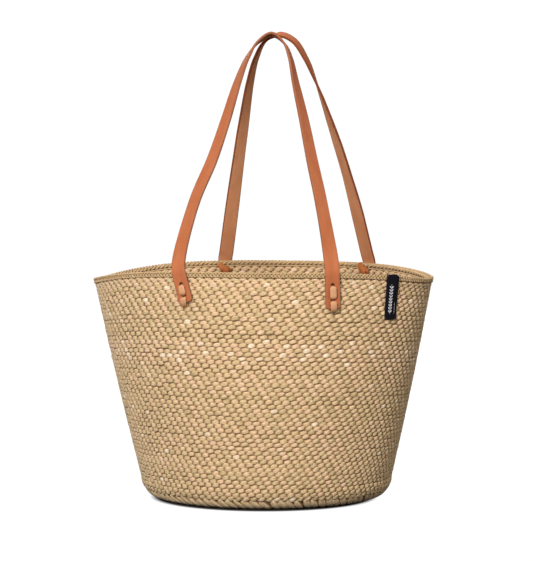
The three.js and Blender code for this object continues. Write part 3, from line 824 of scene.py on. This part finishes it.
def make_lace(name, tie, lace, materials):
    """Lace through both strap holes, back through the wall, knotted inside with two tails."""
    _, _, down, across = tie
    left = math.copysign(1, across[0])
    w, t = LACE_HALF_WIDTH, LACE_HALF_THICK
    middle, end, aside, slide = lace
    soup = Soup()
    # Over the strap from its upper hole to its middle one.
    ribbon(soup, tie, [
        (-8, 1.3, 0, 1.5, 1.1), (1, 1.3, 0, 1.6, 1.1), (4.4, 1.7, 0, 2.0, 1.1),
        (6.1, 2.5, 0, 3.3, 1.1), (6.7, 3.6, 0, w, t), (6.8, middle / 2, 0, w, t),
        (6.5, middle - 3.7, 0, w, t), (5.8, middle - 2.5, 0, 3.3, 1.1),
        (4.2, middle - 1.7, 0, 2.1, 1.1), (1, middle - 1.4, 0, 1.6, 1.1),
        (-8, middle - 1.4, 0, 1.5, 1.1),
    ], across, 0.55)
    # Out of the middle hole, over the strap's end and into the wall.
    lower = [
        (-8, middle + 1.7, 1.5, 1.1), (1, middle + 1.7, 1.7, 1.1), (4.4, middle + 2.0, 2.6, 1.1),
        (5.9, middle + 2.8, 3.6, 1.1), (6.3, middle + 4.0, w, t), (5.9, end - 5, w, t),
        (4.9, end - 2.8, 3.7, t), (3.0, end - 1, 3.2, 1.2), (0.8, end - 0.2, 2.6, 1.3),
        (-2, end, 2.2, 1.4), (-8, end, 2.0, 1.4),
    ]
    ribbon(soup, tie, [(o, d, aside * (d - middle) / (end - middle), hw, ht)
                       for o, d, hw, ht in lower], across, 0.45)
    # Down the inside of the wall.
    ribbon(soup, tie, [
        (-7.4, -4, 0, w * 0.8, t), (-7.9, 5, 0, w, t), (-7.9, middle, 0, w, t),
        (-7.9, 22, 0.5 * aside, w, t), (-7.4, end + 1, aside, w * 0.8, t),
    ], across, 0.4)
    knot = [
        # The tail that stands up towards the left, out of the knot.
        (across, 0.25, [
            (-9.4, -2.2, 2.2, 2.8, 1.3), (-13.0, -4.0, 1.4, 3.6, 1.7), (-14.4, -7.6, 0.0, 4.0, 1.6),
            (-13.6, -11.2, -1.9, 4.0, 1.4), (-12.2, -14.4, -3.7, 3.6, 1.2),
            (-11.9, -15.6, -4.3, 2.8, 1.0),
        ]),
        # The loop that grips it.
        (down + across * left, 0.3, [
            (-9.0, -9.6, 3.4, 2.2, 1.2), (-12.6, -8.8, 4.4, 3.0, 1.5), (-15.8, -6.6, 4.0, 3.2, 1.6),
            (-16.0, -3.8, 2.2, 3.1, 1.5), (-12.0, -2.0, 0.2, 2.6, 1.4), (-8.6, -2.2, -1.2, 2.0, 1.2),
        ]),
        # The short tail on the right.
        (down, 0.35, [
            (-9.8, -6.0, 2, 2.4, 1.3), (-12.6, -5.8, 4.2, 3.2, 1.6), (-13.0, -5.6, 6.4, 3.3, 1.4),
            (-12.0, -5.4, 8.6, 2.6, 1.1),
        ]),
    ]
    for axis, tone, stations in knot:
        turned = [(o, d, (a + slide) * left, hw, ht) for o, d, a, hw, ht in stations]
        ribbon(soup, tie, turned, axis, tone, mat=1)
    return soup.build(name, materials)


def make_lace_hole_shade(ties, laces, materials):
    """Spots where the weave parts for the laces through the wall, dark as painted shade in the holes.
    """
    soup = Soup()
    angle = 2 * np.pi * np.arange(LACE_GAP_SIDES) / LACE_GAP_SIDES
    for (origin, out, down, across), (middle, foot, foot_aside, _) in zip(ties, laces):
        circle = np.cos(angle)[:, None] * across + np.sin(angle)[:, None] * down
        for place, aside in ((0, 0), (middle, 0), (foot, foot_aside)):
            rings = []
            for lift, size in ((-2.0, 0.6), (-0.4, 1.0), (0.25, 0.85), (0.35, 0.3)):
                centre = origin + (down * (place + 0.3) + across * aside + out * lift) * MM
                rings.append(centre + LACE_GAP_RADIUS * size * circle)
            soup.tube(np.array(rings), False, 0.1, fibre_field(np.arange(4) * MM, np.cos(angle)))
    return soup.build("lace_hole_shade", materials)


# --- label ---

def label_point(across, down, lift):
    """Over the label: across and down from the middle of its top edge, lift off its back."""
    height = LABEL_TOP - down
    middle = LABEL_X + LABEL_LEAN * down / LABEL_HEIGHT
    _, normal = wall_spot(middle, height, -1)
    sideways = unit(np.array([-normal[1], normal[0], 0.0]))
    point, normal = wall_spot(middle + across * sideways[0], height, -1)
    return point + normal * (strap_gap(height) + lift)


def label_bow(across, down):
    """How far the cloth stands up between its sewn corners."""
    u = 2 * across / LABEL_WIDTH
    return LABEL_BOW * (1 - u * u) * math.sin(math.pi * down / LABEL_HEIGHT)


def make_label(materials):
    rows, columns = LABEL_CELLS
    soup = Soup()
    rings, fibre = [], []
    for r in range(rows + 1):
        down = LABEL_HEIGHT * r / rows
        front, back, place = [], [], []
        for c in range(columns + 1):
            u = 2 * c / columns - 1
            across = u * LABEL_WIDTH / 2
            wave = LABEL_WAVE * math.sin(r * 0.9 + 2 * u) * (1 - abs(u))
            thick = LABEL_THICKNESS * (1 - 0.35 * abs(u) ** 8)
            front.append(label_point(across, down, thick + label_bow(across, down) + wave))
            back.append(label_point(across, down, 0.05 * MM))
            place.append((down / MM, across / MM, 1))
        rings.append(front + back[::-1])
        fibre.append(place + place[::-1])
    soup.tube(np.array(rings), False, 0.5, np.array(fibre))
    return soup.build("label_tape", materials)


def label_thread(soup, places, radius, lift=0.15 * MM, bow=0.0):
    """A raised thread over the label through places given as across and down, in mm."""
    points = smooth_curve([label_point(a * MM, d * MM, LABEL_THICKNESS) for a, d in places], 6)
    share = np.linspace(0, 1, len(points))
    _, normal = wall_spot(points[0][0], points[0][2], -1)
    rise = label_bow(places[0][0] * MM, places[0][1] * MM)
    points = points + normal * (lift + rise + bow * np.sin(np.pi * share))[:, None]
    along = unit(np.gradient(points, axis=0))
    across = unit(np.cross(normal, along))
    taper = radius * np.sin(np.pi * (0.12 + 0.76 * share)) ** 0.5
    grid, c = sweep(points, across, np.cross(along, across), taper, 0.7 * taper, 6)
    soup.tube(grid, False, 0.5, fibre_field(running_length(points), c))


def make_label_motif(materials):
    """A plain ear of grain in pale thread with a short line of dots beside it."""
    soup = Soup()
    stem = -1.6
    label_thread(soup, [(stem, 12), (stem - 0.2, 30), (stem - 0.1, 48)], 0.3 * MM)
    for n in range(9):
        down = 15 + 3.6 * n
        for side in (-1, 1):
            grain = [(stem + side * out, down + below)
                     for out, below in ((0.2, 1.6), (1.5, 0.4), (2.2, -1.2))]
            label_thread(soup, grain, 0.62 * MM)
    for n in range(7):
        label_thread(soup, [(4.4, 34 + 2 * n), (4.7, 34.6 + 2 * n), (5.0, 35.1 + 2 * n)], 0.3 * MM)
    return soup.build("label_motif", materials)


def make_corner_stitch(name, right, top, materials):
    """Two threads side by side, slanting over a corner of the label."""
    soup = Soup()
    half = 1.9
    a = right * (LABEL_WIDTH / MM / 2 - 1)
    d = 1.8 if top else LABEL_HEIGHT / MM - 1.8
    slope = right * (1 if top else -1)
    for shift in (-0.35, 0.35):
        thread = [(a + half * end, d + slope * half * end + shift) for end in (-1, 0, 1)]
        label_thread(soup, thread, 0.45 * MM, 0.2 * MM, 0.4 * MM)
    return soup.build(name, materials)


# --- materials ---

WHITE = (1, 1, 1)
BLACK = (0, 0, 0)
STREAK_COLOUR = (0.50, 0.40, 0.29)
# Painted shade at the edges of strands and where they dip into the weave.
EDGE_SHADE_COLOUR = (0.50, 0.33, 0.17)
DIP_SHADE_COLOUR = (0.36, 0.22, 0.10)
PALE_FIBRE = (0.93, 0.80, 0.63)
PALE_SHARE = 0.45
PATCH_SHARE = 0.4
PORE_COLOUR = (0.72, 0.66, 0.62)
PORE_SHARE = 0.45
LINE_SHARE = 0.3


class Shading:
    """The nodes of a material or a world, which feed its main node."""

    def __init__(self, owner, main="Principled BSDF"):
        owner.use_nodes = True
        self.owner = owner
        self.tree = owner.node_tree
        self.main = self.tree.nodes[main]

    def feed(self, node, inputs):
        """Gives a node's inputs, by name or number, an output of another node or a value."""
        for key, value in inputs.items():
            socket = node.inputs[key]
            if hasattr(value, "is_linked"):
                self.tree.links.new(value, socket)
            elif socket.type == "RGBA":
                socket.default_value = (*value, 1)
            else:
                socket.default_value = value

    def set(self, name, value):
        self.feed(self.main, {name: value})

    def node(self, kind, inputs):
        node = self.tree.nodes.new("ShaderNode" + kind)
        self.feed(node, inputs)
        return node

    def attribute(self, name, output):
        node = self.node("Attribute", {})
        node.attribute_name = name
        return node.outputs[output]

    def noise(self, vector, scale, detail=3.0, roughness=0.55):
        """Noise over a vector that is first scaled along each axis."""
        scaled = self.node("Mapping", {"Vector": vector, "Scale": scale}).outputs["Vector"]
        return self.node("TexNoise", {"Vector": scaled, "Scale": 1.0, "Detail": detail,
                                      "Roughness": roughness}).outputs["Fac"]

    def ramp(self, value, stops):
        node = self.node("ValToRGB", {"Fac": value})
        elements = node.color_ramp.elements
        while len(elements) < len(stops):
            elements.new(0.5)
        for element, (position, colour) in zip(elements, stops):
            element.position = position
            element.color = (*colour, 1)
        return node.outputs["Color"]

    def mix(self, kind, factor, first, second):
        node = self.node("Mix", {})
        node.data_type = "RGBA"
        node.blend_type = kind
        self.feed(node, {0: factor, 6: first, 7: second})
        return node.outputs[2]

    def tint(self, colour, value, stops, share=1.0):
        """Multiplies a colour by a ramp over a value."""
        return self.mix("MULTIPLY", share, colour, self.ramp(value, stops))

    def arithmetic(self, kind, first, second=0.0):
        node = self.node("Math", {0: first, 1: second})
        node.operation = kind
        return node.outputs[0]

    def bump(self, height, strength, distance):
        node = self.node("Bump", {"Height": height, "Strength": strength, "Distance": distance})
        self.set("Normal", node.outputs["Normal"])


def new_look(name, roughness):
    look = Shading(bpy.data.materials.new(name))
    look.set("Roughness", roughness)
    return look, look.attribute("fibre", "Vector")


def fibre_material(name, stops, depth):
    """Sisal strands: streaks along the fibre, tone per stitch, and painted shade towards the edges
    and where a strand dips.
    """
    look, fibre = new_look(name, 0.82)
    parts = look.node("SeparateXYZ", {"Vector": fibre}).outputs
    streaks = look.noise(fibre, (0.2, 2.2, 0), 5.0, 0.75)
    patches = look.noise(fibre, (0.05, 0.4, 0), 2.0)
    patches = look.arithmetic("MULTIPLY", patches, PATCH_SHARE)
    tone = look.arithmetic("ADD", look.attribute("tone", "Fac"), patches)
    colour = look.ramp(look.arithmetic("SUBTRACT", tone, PATCH_SHARE / 2), stops)
    colour = look.tint(colour, streaks, [(0.36, STREAK_COLOUR), (0.58, WHITE)], depth)
    bright = look.ramp(streaks, [(0.55, BLACK), (0.72, (PALE_SHARE,) * 3)])
    colour = look.mix("MIX", bright, colour, PALE_FIBRE)
    # Painted shade: darker at each strand's edges and where it dips between the warps.
    edge = look.arithmetic("ABSOLUTE", parts["Y"])
    colour = look.tint(colour, edge, [(0.78, WHITE), (1.0, EDGE_SHADE_COLOUR)])
    colour = look.tint(colour, parts["Z"], [(0.08, DIP_SHADE_COLOUR), (0.48, WHITE)])
    look.set("Base Color", colour)
    look.set("Sheen Weight", 0.15)
    look.set("Sheen Roughness", 0.6)
    look.set("Specular IOR Level", 0.25)
    look.bump(streaks, 0.9, 0.0006)
    return look.owner


def warp_shade_material():
    """Upright cords deep between the strands, dark as painted shade in the gaps of the weave."""
    look, fibre = new_look("warp_painted_shade", 0.95)
    streaks = look.noise(fibre, (0.15, 3.0, 1))
    stops = [(0.3, (0.17, 0.095, 0.035)), (0.7, (0.34, 0.21, 0.095))]
    look.set("Base Color", look.ramp(streaks, stops))
    look.bump(streaks, 0.6, 0.0005)
    return look.owner


def leather_material(name, deep, light, roughness, grain=1.0, low=None):
    """Vegetable-tanned leather: soft mottling, fine pores and faint lengthwise streaks.

    low is painted shade: what its colour is multiplied by at the rim; half way up a handle it is not
    changed.
    """
    look, place = new_look(name, roughness)
    mottle = look.noise(place, (0.03, 0.09, 0.09), 4.0)
    lines = look.noise(place, (0.04, 1.6, 1.6))
    pores = look.noise(place, (1.4, 1.6, 1.6), 5.0, 0.7)
    mixed = look.arithmetic("ADD", look.arithmetic("MULTIPLY", mottle, 1 - LINE_SHARE),
                            look.arithmetic("MULTIPLY", lines, LINE_SHARE))
    colour = look.ramp(mixed, [(0.3, deep), (0.7, light)])
    colour = look.tint(colour, pores, [(0.25, PORE_COLOUR), (0.5, WHITE)], PORE_SHARE)
    # Painted shade: darker towards the rim, by height.
    if low:
        height = look.attribute("tone", "Fac")
        colour = look.tint(colour, height, [(0.46, low), (0.72, WHITE)])
    look.set("Base Color", colour)
    look.set("Specular IOR Level", 0.1)
    look.bump(pores, 0.35 * grain, 0.0004)
    return look.owner


def thread_material(name, dark, light):
    look, place = new_look(name, 0.8)
    twist = look.noise(place, (3.0, 2.0, 1), 2.0)
    look.set("Base Color", look.ramp(twist, [(0.3, dark), (0.7, light)]))
    look.bump(twist, 0.5, 0.0003)
    return look.owner


def tape_material(name, dark, light):
    """Closely woven tape: slanting ribs crossed by finer threads."""
    look, place = new_look(name, 0.9)
    wave = look.node("TexWave", {"Vector": place, "Scale": 0.45, "Distortion": 0.6})
    wave.bands_direction = "DIAGONAL"
    ribs = wave.outputs["Fac"]
    mixed = look.arithmetic("MULTIPLY", ribs, look.noise(place, (2.0, 2.0, 1), 4.0))
    look.set("Base Color", look.ramp(mixed, [(0.1, dark), (0.6, light)]))
    look.set("Specular IOR Level", 0.12)
    look.bump(ribs, 0.4, 0.0003)
    return look.owner


# --- camera, floor and light ---

CAMERA_AZIMUTH = math.radians(9.7)
CAMERA_DISTANCE = 3.45
CAMERA_HEIGHT = 0.475
CAMERA_PITCH = math.radians(3.485)
CAMERA_SIDESTEP = 0.0049
FOCAL_LENGTH = 179.7
SENSOR = 36.0

# Floor, and the patch of painted shadow on it round the foot, with its inner and outer edge; the
# floor's own colour is dark and it glows white to the camera outside the patch.
FLOOR_REACH = 40.0
FLOOR_COLOUR = (0.045, 0.042, 0.04)
FLOOR_GLOW = 0.99
SHADE_FORWARD = -0.02
SHADE_HALF_LENGTH = 0.134
SHADE_HALF_DEPTH = 0.131
SHADE_EDGES = (0.97, 1.06)

# Lamps: name, place, size in metres, power in watts and colour. All face the basket's middle.
LAMPS = (
    ("key", (-0.4, -2.8, 1.4), 0.9, 90, WHITE),
    ("fill", (2.6, -1.6, 1.4), 2.0, 19, (1, 0.93, 0.8)),
    ("top", (0.1, -0.6, 3.0), 2.0, 22, WHITE),
    ("back", (-0.8, 2.8, 0.8), 2.0, 50, WHITE),
)

# Strength of the world as a light, and as the camera sees it.
WORLD_LIGHT = 0.42
WORLD_SEEN = 1.05


def make_camera():
    data = bpy.data.cameras.new("camera")
    data.lens = FOCAL_LENGTH
    data.sensor_width = SENSOR
    data.clip_end = 100
    camera = add_object("camera", data)
    away = Vector((math.sin(CAMERA_AZIMUTH), -math.cos(CAMERA_AZIMUTH), 0))
    right = Vector((math.cos(CAMERA_AZIMUTH), math.sin(CAMERA_AZIMUTH), 0))
    camera.location = away * CAMERA_DISTANCE + right * CAMERA_SIDESTEP
    camera.location.z = CAMERA_HEIGHT
    camera.rotation_euler = (math.pi / 2 - CAMERA_PITCH, 0, CAMERA_AZIMUTH)
    bpy.context.scene.camera = camera


def make_floor():
    """White floor that stays bright to the camera except in a painted shadow close to the basket."""
    mesh = bpy.data.meshes.new("floor")
    corners = [(x * FLOOR_REACH, y * FLOOR_REACH, 0) for x, y in ((-1, -1), (1, -1), (1, 1), (-1, 1))]
    mesh.from_pydata(corners, [], [(0, 1, 2, 3)])
    floor = add_object("floor", mesh)
    look = Shading(bpy.data.materials.new("floor"))
    look.set("Roughness", 0.9)
    look.set("Base Color", FLOOR_COLOUR)
    look.set("Specular IOR Level", 0.05)
    look.set("Emission Color", WHITE)
    # The glow fades out over an ellipse round the foot, which leaves a painted shadow of the floor's
    # dark colour.
    patch = look.node("Mapping", {
        "Vector": look.node("TexCoord", {}).outputs["Object"],
        "Location": (BASE_SHIFT, SHADE_FORWARD, 0),
        "Scale": (SHADE_HALF_LENGTH, SHADE_HALF_DEPTH, 1),
    })
    patch.vector_type = "TEXTURE"
    spread = look.node("VectorMath", {0: patch.outputs["Vector"]})
    spread.operation = "LENGTH"
    glow = look.node("MapRange", {
        "Value": spread.outputs["Value"],
        "From Min": SHADE_EDGES[0],
        "From Max": SHADE_EDGES[1],
        "To Max": FLOOR_GLOW,
    })
    glow.interpolation_type = "SMOOTHSTEP"
    seen = look.node("LightPath", {}).outputs["Is Camera Ray"]
    look.set("Emission Strength", look.arithmetic("MULTIPLY", glow.outputs["Result"], seen))
    mesh.materials.append(look.owner)


def make_light():
    target = Vector((0, 0, BODY_HEIGHT / 2))
    for name, place, size, power, colour in LAMPS:
        data = bpy.data.lights.new(name, "AREA")
        data.size = size
        data.energy = power
        data.color = colour
        lamp = add_object(name, data)
        lamp.location = place
        lamp.rotation_euler = (target - Vector(place)).to_track_quat("-Z", "Y").to_euler()
    world = Shading(bpy.data.worlds.new("studio"), "Background")
    world.set("Color", WHITE)
    seen = world.node("LightPath", {}).outputs["Is Camera Ray"]
    strength = {"Value": seen, "To Min": WORLD_LIGHT, "To Max": WORLD_SEEN}
    world.set("Strength", world.node("MapRange", strength).outputs["Result"])
    bpy.context.scene.world = world.owner
    bpy.context.scene.view_settings.view_transform = "Standard"


# --- assembly ---

make_camera()
make_floor()
make_light()

STRAW = [
    (0.05, (0.60, 0.435, 0.225)), (0.35, (0.69, 0.51, 0.275)), (0.62, (0.755, 0.525, 0.305)),
    (0.85, (0.79, 0.55, 0.345)), (1.0, (0.89, 0.72, 0.50)),
]
PLAIT = [
    (0.05, (0.42, 0.285, 0.125)), (0.35, (0.51, 0.35, 0.165)), (0.62, (0.58, 0.385, 0.195)),
    (0.85, (0.65, 0.43, 0.235)), (1.0, (0.77, 0.60, 0.39)),
]
weave = fibre_material("sisal_weave", STRAW, 0.75)
plait = fibre_material("rim_plait", PLAIT, 0.45)
shade = warp_shade_material()
# low paints shade near the rim on the front grain and the back flesh.
front_leather = [
    leather_material("front_grain", (0.40, 0.116, 0.044), (0.49, 0.160, 0.070), 0.6,
                     low=(0.93, 0.90, 0.84)),
    leather_material("front_edge", (0.26, 0.085, 0.035), (0.36, 0.14, 0.07), 0.7, 0.8),
    leather_material("front_flesh", (0.46, 0.20, 0.11), (0.56, 0.27, 0.16), 0.85, 0.8),
]
# Copies of the front handle's leather: the flesh side paler as painted light, the edges darker as
# painted shade.
back_leather = [
    leather_material("back_grain", (0.40, 0.112, 0.038), (0.485, 0.15, 0.06), 0.6),
    leather_material("back_edge_painted_shade", (0.19, 0.045, 0.015), (0.30, 0.08, 0.028), 0.7, 0.8),
    leather_material("back_flesh_painted_light_and_shade", (0.66, 0.285, 0.135), (0.80, 0.385, 0.205), 0.85, 0.8,
                     low=(0.68, 0.60, 0.54)),
]
lace_leather = leather_material("lace_leather", (0.52, 0.26, 0.13), (0.62, 0.33, 0.18), 0.6)
knot_leather = leather_material("knot_leather", (0.34, 0.10, 0.028), (0.46, 0.16, 0.05), 0.5)
black_tape = tape_material("label_tape", (0.004, 0.0035, 0.006), (0.012, 0.011, 0.017))
pale_thread = thread_material("pale_thread", (0.5, 0.5, 0.54), (0.72, 0.72, 0.77))
straw_thread = thread_material("straw_thread", (0.55, 0.40, 0.24), (0.75, 0.58, 0.38))
dark_thread = thread_material("dark_thread", (0.008, 0.007, 0.010), (0.03, 0.028, 0.035))


def fix(piece, slot, *nodes):
    """A fixed piece of the basket, in place of the nodes it shows. Its slot argument is not used."""
    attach(piece, "root")
    if nodes:
        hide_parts(*nodes)


for number, piece in enumerate(make_weft([weave])):
    fix(piece, "weave", *(("basket_wall", "basket_base") if number == 0 else ()))
fix(make_warps([shade]), "weave")
fix(make_tufts([weave]), "weave")
fix(make_rim_braid([plait]), "rim_plait", "rim_braid")
fix(make_rim_cord([plait]), "rim_plait", "rim_cord")

ties, laces = [], []
for handle, word, leather in (
        (FRONT_HANDLE, "front", front_leather),
        (BACK_HANDLE, "back", back_leather)):
    line = Handle(handle)
    strap = make_strap(f"{word}_leather_strap", line, leather)
    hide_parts(f"{word}_strap", f"{word}_strap_left_end", f"{word}_strap_right_end")
    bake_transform(strap)
    for direction, end in ((-1, "left"), (1, "right")):
        tie = line.tie(direction)
        lace = handle[end]["lace"]
        ties.append(tie)
        laces.append(lace)
        fix(make_lace(f"{word}_{end}_lace", tie, lace, [lace_leather, knot_leather]),
              "lace_leather", f"{word}_{end}_tie")
fix(make_lace_hole_shade(ties, laces, [shade]), "weave")

fix(make_label([black_tape]), "label_cloth", "label")
fix(make_label_motif([pale_thread]), "pale_thread")
for row, top in (("top", True), ("bottom", False)):
    for column, right in (("left", -1), ("right", 1)):
        pale = top and right > 0
        thread = straw_thread if pale else dark_thread
        stitch = make_corner_stitch(f"corner_thread_{row}_{column}", right, top, [thread])
        fix(stitch, "pale_thread" if pale else "dark_thread", f"label_stitch_{row}_{column}")
